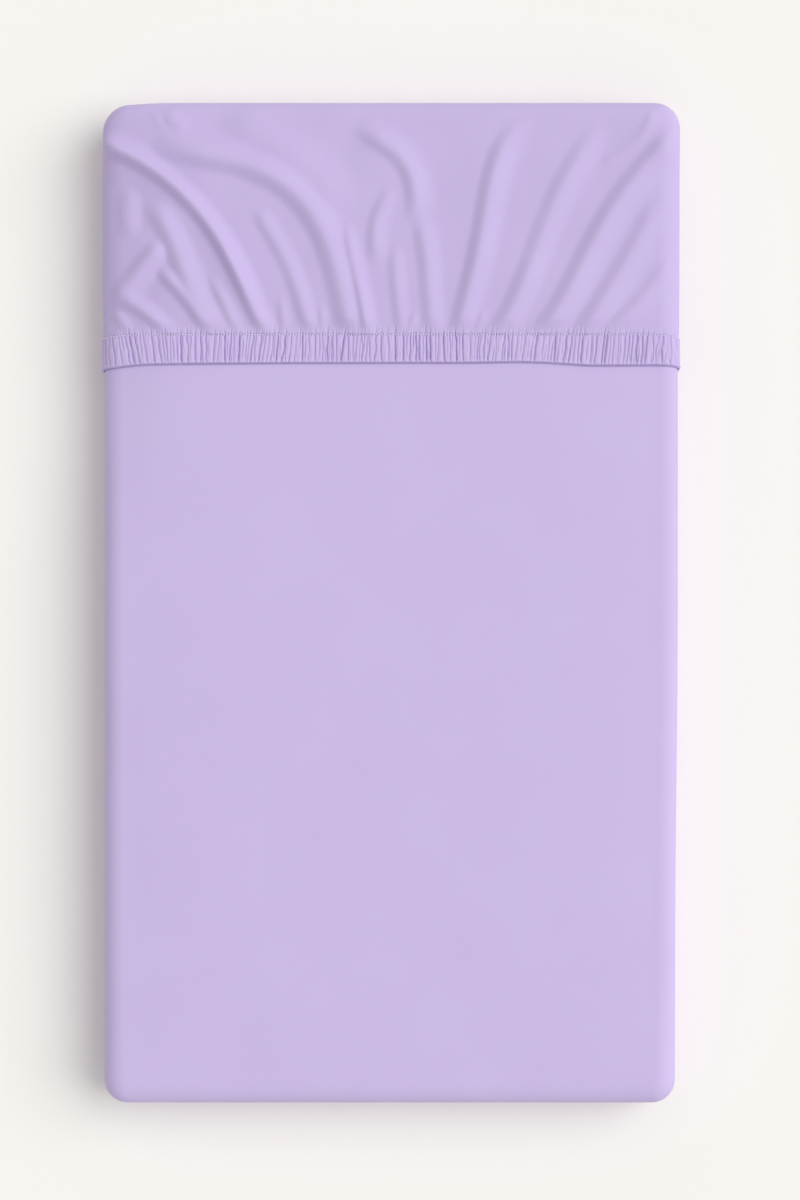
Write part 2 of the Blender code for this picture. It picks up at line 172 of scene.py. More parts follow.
def box_skin(axes, keep):
    """Quads over the six sides of a box of stations, turned outward.

    keep(places, leans) gets the four corners of every quad and says which quads stay.  The result
    is the place and lean of each corner that is used, and the quads.
    """
    counts = [len(axis) for axis in axes]
    sides = []
    for axis in range(3):
        first, second = (axis + 1) % 3, (axis + 2) % 3
        i, j = np.meshgrid(range(counts[first] - 1), range(counts[second] - 1), indexing="ij")
        for end in (0, counts[axis] - 1):
            ring = []
            for step_i, step_j in ((0, 0), (1, 0), (1, 1), (0, 1)):
                key = {axis: np.full(i.shape, end), first: i + step_i, second: j + step_j}
                ring.append(np.ravel_multi_index([key[a].ravel() for a in range(3)], counts))
            sides.append(np.stack(ring if end else ring[::-1], axis=1))
    quads = np.concatenate(sides)
    keys = np.stack(np.unravel_index(quads, counts), axis=-1)
    values = np.stack([axes[a][keys[..., a]] for a in range(3)], axis=2)
    quads = quads[keep(values[..., 0], values[..., 1])]
    used, faces = np.unique(quads, return_inverse=True)
    keys = np.stack(np.unravel_index(used, counts), axis=-1)
    values = np.stack([axes[a][keys[:, a]] for a in range(3)], axis=1)
    return values[..., 0], values[..., 1], faces.reshape(-1, 4)


print("half an edge, cut in two, leans by", stations([0.0], 0, 2)[1:, 1].round(2).tolist())

# %% Helpers: push a skin out of the core
TINY = 1e-9                 # stands in for a length of nothing where we divide by it


def edge_length(sideways, upward, power):
    """Length by which a direction is divided to land on the edge's section."""
    return (np.abs(sideways) ** power + np.abs(upward) ** power) ** (1 / power)


def push_out(core, leans, reach):
    """Corners of a skin at one reach from the core, and the way each of them faces."""
    sideways = np.hypot(leans[:, 0], leans[:, 1])
    power = squareness_at(core[:, 0], core[:, 1])
    length = edge_length(sideways, leans[:, 2], power)
    points = core + leans * (reach / length)[:, None]
    points[:, 2] += crown_at(core[:, 0], core[:, 1]) * (leans[:, 2] > 0)
    upward = np.clip(leans[:, 2] / length, 0, 1)
    points[:, 2] -= sag_at(points[:, 0], points[:, 1]) * upward
    flat_way = leans[:, :2] / np.maximum(sideways, TINY)[:, None]
    facing = np.empty_like(leans)
    facing[:, :2] = flat_way * (sideways ** (power - 1))[:, None]
    facing[:, 2] = np.sign(leans[:, 2]) * np.abs(leans[:, 2]) ** (power - 1)
    return points, facing / np.linalg.norm(facing, axis=1, keepdims=True)


# %% Helper: draw the outline in
FOOT_NARROWING = 0.0022     # how much the right side draws in towards the foot
NARROWING_RUN = 0.30        # the distance from the middle in which it does
CORNER_TRIM = 0.0022        # how far the head's left corner is pulled back towards the foot
CORNER_TRIM_ASIDE = 0.0011  # and towards the middle
CORNER_TRIM_RUN = 0.055     # the distance from the left side in which it is
HEAD_TRIM_RUN = 0.080       # and the distance from the head


def draw_in(points):
    """Draw the right side in a little towards the foot, and the head's left corner back."""
    right = np.clip(points[:, 0] / CORE_X, 0, 1)
    points[:, 0] -= FOOT_NARROWING * right * smooth_step(-points[:, 1] / NARROWING_RUN)
    headward = smooth_step((points[:, 1] - hood_high.y) / HEAD_TRIM_RUN + 1)
    left = smooth_step((-points[:, 0] - sleeve_high.x) / CORNER_TRIM_RUN + 1)
    points[:, 1] -= CORNER_TRIM * headward * left
    points[:, 0] += CORNER_TRIM_ASIDE * headward * left ** 3


print("the foot is", round(FOOT_NARROWING / MILLIMETRE, 1), "mm narrower than the middle")

# %% Helper: spread the cloth flat again
def laid_out(core, leans):
    """Where each corner would lie if the cloth were spread flat round the top."""
    outward = leans / np.linalg.norm(leans, axis=1, keepdims=True)
    sideways = np.hypot(outward[:, 0], outward[:, 1])
    turn = np.arctan2(sideways, outward[:, 2])
    drop = EDGE_RADIUS * turn + np.where(turn >= QUARTER_TURN, CORE_TOP - core[:, 2], 0)
    direction = outward[:, :2] / np.maximum(sideways, TINY)[:, None]
    return core[:, :2] + direction * drop[:, None], drop


print("the cloth turns over an edge in", round(EDGE_ARC / MILLIMETRE, 1), "mm")

# %% Where the band runs
BAND_DIP = 0.0045           # how far the band leans to the foot where it turns down the sides
DIP_START = 0.215           # the distance from the middle, on the cloth, where that starts
DIP_RUN = 0.055
BAND_END_TURN = math.radians(50)    # how far round the bottom edge its ends are tucked
BAND_HALF = CORE_X + EDGE_ARC + WALL + EDGE_RADIUS * BAND_END_TURN
# (across, width of the band), both in millimetres, from the left end to the right
BAND_WIDTHS = ((-240, 26.0), (-227, 26.3), (-205, 24.9), (-160, 24.3), (-80, 23.8), (60, 23.6),
               (107, 22.9), (128, 23.5), (165, 25.9), (212, 25.5), (240, 24.6))
print("the band is", round(2 * BAND_HALF, 3), "m long")


def seam_dip(across):
    """How far the seam lies to the foot, at a distance from the middle along the cloth."""
    return BAND_DIP * smooth_step((np.abs(across) - DIP_START) / DIP_RUN)


def width_of_band(across):
    """Width of the band at a distance from the middle along the cloth."""
    return np.interp(across / MILLIMETRE, *zip(*BAND_WIDTHS)) * MILLIMETRE


# %% Helper: a point on the section
def around(across, reach, y):
    """Points at a distance from the middle along the section, at a reach from the core."""
    rest = np.abs(across) - CORE_X
    turn = np.clip(rest / EDGE_RADIUS, 0, QUARTER_TURN)
    down = np.clip(rest - EDGE_ARC, 0, WALL)
    under = np.clip((rest - EDGE_ARC - WALL) / EDGE_RADIUS, 0, QUARTER_TURN)
    side = np.where(across < 0, -1.0, 1.0)
    flat_x = np.minimum(np.abs(across), CORE_X)
    power = squareness_at(side * flat_x, y)
    over_edge = reach / edge_length(np.sin(turn), np.cos(turn), power)
    under_edge = reach / edge_length(np.cos(under), np.sin(under), power)
    x = flat_x + np.where(under > 0, under_edge * np.cos(under), over_edge * np.sin(turn))
    z = CORE_TOP - down + np.where(under > 0, -under_edge * np.sin(under),
                                   over_edge * np.cos(turn))
    z = z + crown_at(flat_x, y) * (rest < EDGE_ARC)
    z = z - sag_at(side * x, y) * over_edge * np.cos(turn) / reach
    return np.stack([side * x, y + 0 * x, z], axis=-1)


halfway_down = around(np.array([CORE_X + EDGE_ARC / 2]), EDGE_RADIUS, 0.0)[0]
print("halfway round its right edge the sleeve lies at", halfway_down.round(4).tolist(), "m")


# %% Helpers: a new piece, and its thickness
def new_piece(name, points, faces, cloth_places, material):
    """A smooth-shaded mesh object that remembers where each point sits on the flat cloth."""
    mesh = bpy.data.meshes.new(name)
    mesh.from_pydata(points.tolist(), [], faces.tolist() if hasattr(faces, "tolist") else faces)
    places = np.zeros((len(points), 3))
    places[:, :cloth_places.shape[1]] = cloth_places
    mesh.attributes.new("cloth_place", "FLOAT_VECTOR", "POINT").data.foreach_set(
        "vector", places.astype(np.float32).ravel())
    mesh.materials.append(material)
    mesh.shade_smooth()
    piece = bpy.data.objects.new(name, mesh)
    bpy.context.collection.objects.link(piece)
    print(name, "has", len(mesh.vertices), "points and", len(mesh.polygons), "faces")
    return piece


def thicken_inward(piece, thickness):
    """Solidify gives an outer skin the cloth's thickness, to its inner side."""
    skin = piece.modifiers.new("cloth_thickness", "SOLIDIFY")
    skin.thickness = thickness
    skin.offset = -1
    skin.use_even_offset = True


# %% Helper: gentle random swells
WAVES = 16                  # plain waves that add up to the swells
WAVE_SPREAD = (0.7, 1.6)    # the shortest and the longest of them, as shares of the swells' length


def soft_waves(spots, length, seed):
    """Gentle random swells of about that length, mostly between -1 and 1, the same each run."""
    rolls = np.random.default_rng(seed)
    total = np.zeros(len(spots))
    for _ in range(WAVES):
        heading = rolls.uniform(0, 2 * math.pi)
        pace = 2 * math.pi / (length * rolls.uniform(*WAVE_SPREAD))
        wave = spots[:, 0] * math.cos(heading) + spots[:, 1] * math.sin(heading)
        total += np.sin(wave * pace + rolls.uniform(0, 2 * math.pi))
    return total / math.sqrt(WAVES)


# %% [markdown]
# ## Lilac cotton
#
# The sheet is a fine plain-weave cotton: nearly matt, with a soft bloom where it turns away, and
# so evenly dyed that from above it reads as one lilac.  A flat colour would look like plastic,
# though.  Three small things make it cloth: a weave of threads in the bump, a faint mottling of
# the dye, and a little sheen.
#
# A photographed weave would have to be wrapped round every edge.  This one is worked out by nodes
# from the place on the flat cloth that every point carries, so its threads run straight across
# the top, turn down over the edges and never stretch.

# %% Node helpers
def add_node(tree, kind, place, **settings):
    """A new node at a place in the node editor, with its settings."""
    node = tree.nodes.new(kind)
    node.location = place
    for name, value in settings.items():
        setattr(node, name, value)
    return node


def noise_at(tree, vector, scale, detail, place):
    """Soft random blots, scale of them to the metre."""
    node = add_node(tree, "ShaderNodeTexNoise", place)
    node.inputs["Scale"].default_value = scale
    node.inputs["Detail"].default_value = detail
    tree.links.new(vector, node.inputs["Vector"])
    return node.outputs["Fac"]


def threads_at(tree, vector, direction, pitch, place):
    """Ribs one thread apart.  Blender's wave repeats every 2 pi / 20 units at scale 1."""
    node = add_node(tree, "ShaderNodeTexWave", place, bands_direction=direction)
    node.inputs["Scale"].default_value = 2 * math.pi / 20 / pitch
    node.inputs["Distortion"].default_value = 0.4
    node.inputs["Detail Scale"].default_value = 2.0
    tree.links.new(vector, node.inputs["Vector"])
    return node.outputs["Fac"]


def math_of(tree, operation, first, second, place):
    """Sum or product of two values, each a number or another node's output."""
    node = add_node(tree, "ShaderNodeMath", place, operation=operation)
    for socket, value in zip(node.inputs, (first, second)):
        if isinstance(value, float):
            socket.default_value = value
        else:
            tree.links.new(value, socket)
    return node.outputs["Value"]


# %% The cotton itself
MOTTLE_SCALE = 11.0         # clouds of dye to the metre
SLUB_SCALE = 900.0          # and uneven spots of the yarn
MOTTLE_SHARE = 0.55         # of the change in tone, the rest is the yarn's
FUZZ_SHARE = 0.5            # how far the yarn's spots stand out beside its threads
SHEET_WEAVE = {"thread_pitch": 0.0005, "sheen": 0.10, "depth": 0.00012}


def woven_cloth(name, shade, light, thread_pitch, sheen, depth):
    """Cotton between two close tones, with a plain weave of that thread pitch raised in it."""
    material = bpy.data.materials.new(name)
    material.use_nodes = True
    tree = material.node_tree
    shader = tree.nodes["Principled BSDF"]
    shader.inputs["Roughness"].default_value = 0.82
    shader.inputs["Specular IOR Level"].default_value = 0.25
    shader.inputs["Sheen Weight"].default_value = sheen
    shader.inputs["Sheen Roughness"].default_value = 0.45
    shader.inputs["Sheen Tint"].default_value = (0.95, 0.9, 1.0, 1.0)

    place = add_node(tree, "ShaderNodeAttribute", (-1300, 0), attribute_name="cloth_place")
    spot = place.outputs["Vector"]
    mottle = noise_at(tree, spot, MOTTLE_SCALE, 3.0, (-1000, 300))
    slub = noise_at(tree, spot, SLUB_SCALE, 2.0, (-1000, 60))
    dye = math_of(tree, "MULTIPLY", mottle, MOTTLE_SHARE, (-780, 300))
    yarn = math_of(tree, "MULTIPLY", slub, 1 - MOTTLE_SHARE, (-780, 120))
    tone = math_of(tree, "ADD", dye, yarn, (-600, 220))
    ramp = add_node(tree, "ShaderNodeValToRGB", (-420, 240))
    ramp.color_ramp.elements[0].position = 0.3
    ramp.color_ramp.elements[0].color = shade
    ramp.color_ramp.elements[1].position = 0.7
    ramp.color_ramp.elements[1].color = light
    tree.links.new(tone, ramp.inputs["Fac"])
    tree.links.new(ramp.outputs["Color"], shader.inputs["Base Color"])

    warp = threads_at(tree, spot, "X", thread_pitch, (-1000, -220))
    weft = threads_at(tree, spot, "Y", thread_pitch, (-1000, -460))
    over_under = math_of(tree, "MULTIPLY", warp, weft, (-780, -320))
    fuzz = math_of(tree, "MULTIPLY", slub, FUZZ_SHARE, (-780, -140))
    bump = add_node(tree, "ShaderNodeBump", (-300, -260))
    bump.inputs["Strength"].default_value = 0.5
    bump.inputs["Distance"].default_value = depth
    tree.links.new(math_of(tree, "ADD", over_under, fuzz, (-560, -260)), bump.inputs["Height"])
    tree.links.new(bump.outputs["Normal"], shader.inputs["Normal"])
    print("made", name, "with", round(MILLIMETRE / thread_pitch), "threads to the millimetre")
    return material


lilac_cotton = woven_cloth("lilac_cotton", (0.582, 0.482, 0.780, 1), (0.612, 0.512, 0.805, 1),
                           **SHEET_WEAVE)
# The hood's copy of the same cotton is a shade darker: painted shade for the dimness of its slack, finely
# wrinkled cloth.
hood_cotton_painted_shade = woven_cloth("hood_cotton_painted_shade", (0.553, 0.456, 0.752, 1), (0.583, 0.486, 0.776, 1),
                           **SHEET_WEAVE)
lilac_ruching = woven_cloth("lilac_ruching", (0.565, 0.465, 0.765, 1), (0.600, 0.500, 0.795, 1),
                            **SHEET_WEAVE)
seam_thread = woven_cloth("seam_thread", (0.84, 0.77, 0.96, 1), (0.90, 0.84, 0.98, 1),
                          thread_pitch=0.0003, sheen=0.20, depth=0.00005)
mattress_ticking = woven_cloth("mattress_ticking", (0.80, 0.79, 0.75, 1), (0.88, 0.87, 0.84, 1),
                               thread_pitch=0.0008, sheen=0.05, depth=0.0002)

# %% [markdown]
# ## The mattress
#
# A plain foam pad in a white ticking.  The sheet hides it, so a bevelled cube might do.  But it is
# what gives the whole thing its shape, so it is made as a real pad: rounder at its edges than the
# cloth over it, a little fuller in the middle, with a taped seam all round at the top and at the
# bottom.

# %% Make the mattress
PAD_STEP = 0.012            # size of the pad's quads
PAD_ARC = 5                 # quads in half a rounded edge
WALL_ROWS = 5               # rows of points up the straight part of a side wall
TAPE_RISE = 0.0006          # how far the taped seams stand out
TAPE_HALF = 0.0025          # half the width of the tape
PAD_ROUNDING = 0.006        # how much rounder its edges are than the sleeve's


def spread(low, high, step):
    """Places about a step apart, both ends among them."""
    return np.linspace(low, high, max(2, round((high - low) / step) + 1))


def everything(places, leans):
    """Keeps every quad, so that the skin is closed."""
    return np.ones(len(places), bool)


def make_mattress():
    half_x = CORE_X - PAD_ROUNDING
    foot, head = CORE_FOOT + PAD_ROUNDING, CORE_HEAD - PAD_ROUNDING
    low, top = CORE_LOW + PAD_ROUNDING, CORE_TOP - PAD_ROUNDING
    axes = [
        stations(spread(-half_x, half_x, PAD_STEP), PAD_ARC, PAD_ARC),
        stations(spread(foot, head, PAD_STEP), PAD_ARC, PAD_ARC),
        stations(np.linspace(low, top, WALL_ROWS), PAD_ARC, PAD_ARC),
    ]
    core, leans, faces = box_skin(axes, everything)
    pad_reach = pad_high.x - half_x - TAPE_RISE
    points, outward = push_out(core, leans, pad_reach)
    tilt = np.abs(np.abs(outward[:, 2]) - math.sin(math.pi / 4)) * pad_reach
    points += outward * (TAPE_RISE * bell(tilt, TAPE_HALF))[:, None]
    draw_in(points)
    spots, _ = laid_out(core, leans)
    piece = new_piece("foam_mattress", points, faces, spots, mattress_ticking)
    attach(piece, "root")
    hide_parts("mattress")


make_mattress()

# %% [markdown]
# ## The sleeve
#
# The smooth part of the sheet: a wide bag of cloth, closed at the foot, that the mattress slides
# into.  It is pulled tight, so its top shows no folds at all, only the softest swells.  Down the
# sides the cloth relaxes a little and ripples where it turns under.
#
# It could be the mattress's own mesh, scaled up a little, but cloth needs an open mouth and a
# thickness.  So it is the core's skin at the sleeve's reach, with the quads over the head end left
# out.  That is its mouth, and the hood covers it.  The rows lie close together under the band's
# free edge, where the elastic presses a fine line into the cloth.

# %% Make the sleeve
SLEEVE_CLOTH = 0.0012
SLEEVE_STEP = 0.0085
SLEEVE_ARC = 9
SLEEVE_MOUTH_Y = 0.330
HAIR = 1e-6                 # two places closer than this count as the same
SWELL = 0.00018             # height of the soft swells on the top
SWELL_LENGTH = 0.11
SWELL_SPREAD = 1.4          # above 1 they reach further down the edges
SIDE_RIPPLE = 0.0005        # depth of the ripples where the cloth turns down
SIDE_RIPPLE_LENGTH = 0.035
RIPPLE_START = 0.6          # share of the top edge's turn where they start
RIPPLE_END = (-0.9, 0.5)    # how far the cloth faces down where they end, and the run to there
DENT = 0.0009               # how deep the band's free edge presses into the sleeve
DENT_WIDTH = 0.0005
DENT_PLACE = 0.0002         # how far past the edge it is deepest
DENT_STEP = 0.0003          # distance of the rows there


def make_sleeve():
    ends = [-BAND_HALF, 0, BAND_HALF] + [place * MILLIMETRE for place, _ in BAND_WIDTHS]
    edges = SEAM_Y - width_of_band(np.array(ends)) - seam_dip(np.array(ends))
    dent_low, dent_high = edges.min() - 2 * DENT_WIDTH, edges.max() + 2 * DENT_WIDTH
    rows = np.concatenate([
        spread(CORE_FOOT, dent_low, SLEEVE_STEP)[:-1], spread(dent_low, dent_high, DENT_STEP),
        spread(dent_high, SLEEVE_MOUTH_Y, SLEEVE_STEP)[1:],
        spread(SLEEVE_MOUTH_Y, CORE_HEAD, SLEEVE_STEP)[1:]])
    axes = [
        stations(spread(-CORE_X, CORE_X, SLEEVE_STEP), SLEEVE_ARC, SLEEVE_ARC),
        stations(rows, SLEEVE_ARC, SLEEVE_ARC),
        stations(np.linspace(CORE_LOW, CORE_TOP, WALL_ROWS), SLEEVE_ARC, SLEEVE_ARC),
    ]

    def closed_part(places, leans):
        past_mouth = places[:, :, 1].min(axis=1) >= SLEEVE_MOUTH_Y - HAIR
        above_low_edge = leans[:, :, 2].min(axis=1) >= 0
        return ~(past_mouth & above_low_edge)

    core, leans, faces = box_skin(axes, closed_part)
    points, outward = push_out(core, leans, EDGE_RADIUS)
    spots, drop = laid_out(core, leans)
    on_top = smooth_step(outward[:, 2] * SWELL_SPREAD)
    relief = SWELL * soft_waves(spots, SWELL_LENGTH, seed=3) * on_top
    turned_down = smooth_step(drop / EDGE_ARC - RIPPLE_START)
    turned_down *= smooth_step((outward[:, 2] - RIPPLE_END[0]) / RIPPLE_END[1])
    ripple = soft_waves(points[:, :2], SIDE_RIPPLE_LENGTH, seed=4)
    relief -= SIDE_RIPPLE * (1 + ripple) / 2 * turned_down
    edge = SEAM_Y - width_of_band(spots[:, 0]) - seam_dip(spots[:, 0]) - DENT_PLACE
    # The bottom panel gets this line too, though no band lies there.
    dented = bell(core[:, 1] - edge, DENT_WIDTH) * (np.abs(spots[:, 0]) < BAND_HALF)
    relief -= DENT * dented
    points += outward * relief[:, None]
    points[:, 2] = np.maximum(points[:, 2], 0)
    draw_in(points)
    piece = new_piece("smooth_sleeve", points, faces, spots, lilac_cotton)
    thicken_inward(piece, SLEEVE_CLOTH)
    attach(piece, "root")
    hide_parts("sheet_sleeve")
    return piece


smooth_sleeve = make_sleeve()

# %% [markdown]
# ## The hood's folds
#
# The hood is cut wider than the mattress, and the elastic gathers it, so soft folds fan out from
# the band: steep on their left flank, gentle on their right.  Blender's cloth simulation could
# drape a hood, but it would find folds of its own.  These have to lie where the real ones lie, so
# each one is listed: five places along its steep flank, where it shades, then its width and its
# height at either end.
#
# A curve through the five places is the flank line.  Every point of the cloth looks for the
# nearest spot on it, asks how far to its left or right it lies, and rises by a lopsided bell.

# %% The folds, one to a row
# Five places along the flank, (across, along) from the middle of the top, then the fold's width,
# its height at its first and last place, and the length in which it rises.  All in millimetres.
FOLD_COLUMNS = "start upper middle lower end width first_height last_height rise".split()
FOLDS = {
    "top_left_first": ((-202, 409), (-198, 402), (-194, 396), (-188, 391), (-181, 386), 8, 0.9, 0.7, 10),
    "top_left_second": ((-193, 409), (-188, 403), (-184, 398), (-177, 393), (-167, 388), 12, 1.9, 1.3, 12),
    "top_left_broad": ((-147, 407), (-128, 388), (-104, 371), (-74, 348), (-48, 310), 30, 3.0, 2.2, 34),
    "left_corner_sweep": ((-262, 389), (-204, 359), (-167, 327), (-140, 288), (-107, 220), 13, 12.4, 5.9, 14),
    "left_long_arc": ((-207, 380), (-147, 363), (-93, 342), (-59, 295), (-39, 221), 21, 10.6, 5.0, 58),
    "left_middle": ((-118, 333), (-103, 304), (-90, 280), (-80, 253), (-69, 221), 14, 3.6, 3.7, 24),
    "left_narrow": ((-42, 324), (-38, 296), (-33, 273), (-28, 250), (-24, 221), 11, 3.0, 5.5, 30),
    "left_side_upper": ((-212, 333), (-193, 311), (-183, 288), (-172, 258), (-150, 221), 18, 5.2, 4.6, 28),
    "left_side_lower": ((-200, 283), (-187, 266), (-177, 255), (-167, 242), (-151, 221), 12, 5.4, 5.4, 26),
    "left_side_small": ((-230, 249), (-215, 244), (-206, 238), (-198, 231), (-187, 221), 12, 5.6, 5.2, 12),
    "left_end_tick": ((-235, 244), (-231, 239), (-227, 234), (-223, 228), (-218, 221), 9, 2.6, 2.6, 8),
    "left_cross_roll": ((-187, 307), (-203, 293), (-214, 280), (-225, 267), (-239, 249), 17, 5.0, 6.0, 20),
    "left_patch": ((-219, 354), (-224, 338), (-225, 325), (-224, 312), (-219, 296), 16, 3.0, 3.0, 20),
    "left_faint": ((-157, 281), (-149, 262), (-143, 250), (-138, 239), (-130, 221), 11, 1.8, 3.4, 30),
    "left_low_tick": ((-94, 260), (-94, 249), (-93, 239), (-92, 231), (-91, 221), 9, 1.4, 2.4, 16),
    "left_low_dash": ((-62, 254), (-61, 245), (-60, 237), (-60, 229), (-59, 221), 8, 1.9, 2.3, 16),
    "centre_branch": ((-3, 354), (-10, 333), (-16, 319), (-18, 304), (-19, 277), 13, 3.2, 3.0, 24),
    "centre_hook": ((-36, 396), (-8, 377), (6, 364), (14, 344), (15, 312), 16, 4.6, 6.2, 32),
    "centre_lower": ((15, 330), (22, 304), (25, 281), (27, 256), (31, 221), 15, 3.2, 3.8, 30),
    "centre_short": ((-1, 305), (0, 282), (1, 262), (3, 244), (5, 221), 12, 1.6, 2.8, 24),
    "centre_low_tick": ((19, 248), (17, 241), (15, 234), (13, 227), (11, 221), 8, 2.0, 2.6, 14),
    "right_hook": ((125, 410), (88, 381), (78, 351), (69, 302), (50, 221), 17, 5.0, 5.2, 58),
    "right_middle": ((177, 406), (143, 360), (126, 324), (107, 274), (79, 221), 18, 4.0, 5.2, 44),
    "right_corner_sweep": ((239, 402), (201, 360), (177, 327), (151, 279), (113, 221), 19, 6.8, 5.4, 30),
    "right_corner_small": ((218, 413), (208, 395), (200, 385), (189, 377), (171, 366), 11, 2.2, 1.6, 12),
    "right_side_upper": ((228, 352), (214, 329), (201, 305), (184, 275), (151, 221), 18, 2.8, 5.6, 44),
    "right_side_lower": ((237, 291), (216, 269), (204, 254), (193, 243), (173, 221), 14, 3.0, 3.0, 24),
    "right_low_tick": ((78, 252), (75, 244), (72, 236), (69, 228), (66, 221), 8, 1.8, 2.6, 16),
    "right_low_dash": ((106, 244), (102, 237), (98, 231), (95, 226), (93, 221), 8, 2.0, 2.4, 12),
}
FLANK_PLACE = 0.34          # how far from the flank line the ridge lies, as a share of its width
STEEP_SHARE = 0.68          # the run of a ridge's steep left flank, as a share of its width
SOFT_SHARE = 0.60           # its gentle right flank
FOOT_SHARE = 1.6            # and the long foot of the left flank
FOOT_HEIGHT = 0.26          # share of the height that the foot has
RISE_LIMIT = 0.5            # a fold rises within this share of its own length at most
FOLD_MEET = 3               # how crisply the higher of two meeting folds wins
FOLD_REACH = 0.045          # no fold is felt further away than this
CURVE_STEPS = 64
print(len(FOLDS), "folds, the highest", max(max(row[6:8]) for row in FOLDS.values()), "mm")


# %% Raise the folds
def flank_curve(row):
    """A smooth curve through a fold's five places, with its heading at every step."""
    places = np.array(row[:5]) * MILLIMETRE
    stretch = np.linalg.norm(np.diff(places, axis=0), axis=1)
    marks = np.concatenate([[0], np.cumsum(stretch)]) / stretch.sum()
    steps = np.linspace(0, 1, CURVE_STEPS)
    powers = [np.polyfit(marks, places[:, axis], len(marks) - 1) for axis in (0, 1)]
    curve = np.stack([np.polyval(power, steps) for power in powers], axis=1)
    return steps, curve, np.gradient(curve, axis=0)


def one_fold(row, spots):
    """Height of one fold at each spot."""
    fold = dict(zip(FOLD_COLUMNS, row))
    width = fold["width"] * MILLIMETRE
    steps, curve, heading = flank_curve(row)
    distance = np.linalg.norm(spots[:, None, :] - curve[None, :, :], axis=2)
    nearest = np.argmin(distance, axis=1)
    offset = spots - curve[nearest]
    ahead = heading[nearest]
    step = np.linalg.norm(ahead, axis=1)
    along = (offset * ahead).sum(axis=1) / step
    past_end = np.maximum(np.abs(along) - step, 0)
    aside = (ahead[:, 0] * offset[:, 1] - ahead[:, 1] * offset[:, 0]) / step
    aside -= FLANK_PLACE * width
    steep = 1 - smooth_step(-aside / (STEEP_SHARE * width))
    steep += FOOT_HEIGHT * (bell(aside, FOOT_SHARE * width) - steep)
    ridge = np.where(aside > 0, bell(aside, SOFT_SHARE * width), steep) * bell(past_end, width)
    share = np.clip(steps[nearest] + along / step * steps[1], 0, 1)
    length = np.linalg.norm(heading, axis=1).sum()
    rise = min(fold["rise"] * MILLIMETRE / length, RISE_LIMIT)
    ridge *= smooth_step(share / rise)
    if curve[-1, 1] > SEAM_Y:
        ridge *= smooth_step((1 - share) / rise)
    height = fold["first_height"] + (fold["last_height"] - fold["first_height"]) * share
    return ridge * height * MILLIMETRE


def fold_height(spots):
    """Height of all the folds at each spot (across, along) of the laid-out cloth."""
    total = np.zeros(len(spots))
    for row in FOLDS.values():
        places = np.array(row[:5]) * MILLIMETRE
        low, high = places.min(axis=0) - FOLD_REACH, places.max(axis=0) + FOLD_REACH
        near = np.flatnonzero(np.all((spots > low) & (spots < high), axis=1))
        total[near] += np.maximum(one_fold(row, spots[near]), 0) ** FOLD_MEET
    return total ** (1 / FOLD_MEET)


sweep_middle = np.array([FOLDS["left_corner_sweep"][2]]) * MILLIMETRE
print("the cloth rises", round(fold_height(sweep_middle)[0] / MILLIMETRE, 1), "mm on its main fold")

# %% [markdown]
# ## The seam and its gathers
#
# Elastic pulls the hood's mouth into small gathers.  They are the busiest detail of the sheet, so
# they get a plan of their own before any mesh: a list of creases along the seam.  The main ones
# run right across the band.  Between them lie finer ones that start at one edge and fade out.
# Each crease leans and bends a little, and no two are alike.  A noise texture would crease it too,
# but cloth gathers in long folds side by side, not in blots.
#
# The same list is used twice: to crease the band, and to pucker the hood just above the seam.

# %% Plan the creases
BAND_WIDTH = 0.0245         # what it measures on the whole
# (across in millimetres, how far a crease shifts to the right on its way to the free edge, as a
# share of the band's width)
CREASE_LEANS = ((-240, 0.10), (-225, 0.15), (-195, 0.15), (-170, 0.02), (-140, -0.02),
                (-115, -0.12), (-85, -0.10), (-60, -0.03), (60, 0.0), (95, -0.10), (240, -0.12))
CREASE_PITCH = (0.0026, 0.0068)     # nearest and furthest apart that two main creases lie
CREASE_DEPTH = (0.0008, 0.0024)
CREASE_WIDTH = (0.00034, 0.00054)
CREASE_WANDER = 0.035               # how much the leans of two neighbours differ
FINE_GAP = 1.2              # a gap this much wider than the nearest has room for a fine crease
FINE_CHANCE = 0.8
FINE_PLACE = (0.35, 0.65)           # where in the gap it lies
FINE_DEPTH = (0.0004, 0.0012)
FINE_WIDTH = (0.00028, 0.00045)
FINE_WANDER = 0.05
RIGHT_ACROSS = (-1, 2)              # from before the seam to past the free edge
FINE_ENDS = ((-1, 0.55), (-1, 0.8), (0.35, 2), RIGHT_ACROSS, (0.1, 0.9))
BEND = 0.0004               # how far a crease bends to one side, as a rule
KINK = 0.00022              # and how far it wriggles
PUCKER_RUN = (0.0015, 0.0065)       # how far a crease runs on past the seam, into the hood
CREASE_COLUMNS = "place lean bend kink depth width start end run".split()


def plan_creases():
    """Creases as rows of the columns above.  Start and end are shares of the band's width."""
    rolls = random.Random(11)
    creases = []

    def add_crease(place, wander, depth, width, ends):
        lean = np.interp(place / MILLIMETRE, *zip(*CREASE_LEANS)) + rolls.gauss(0, wander)
        creases.append((place, lean, rolls.gauss(0, BEND), rolls.gauss(0, KINK),
                        rolls.uniform(*depth), width, *ends, rolls.uniform(*PUCKER_RUN)))

    place = -BAND_HALF
    while place < BAND_HALF:
        gap = rolls.uniform(*CREASE_PITCH)
        place += gap
        width = rolls.uniform(*CREASE_WIDTH)
        add_crease(place, CREASE_WANDER, CREASE_DEPTH, width, RIGHT_ACROSS)
        if gap > CREASE_PITCH[0] * FINE_GAP and rolls.random() < FINE_CHANCE:
            fine = place - gap * rolls.uniform(*FINE_PLACE)
            ends = rolls.choice(FINE_ENDS)
            width = rolls.uniform(*FINE_WIDTH)
            add_crease(fine, FINE_WANDER, FINE_DEPTH, width, ends)
    return creases


CREASES = plan_creases()
print(len(CREASES), "creases over", round(2 * BAND_HALF, 3), "m of band")

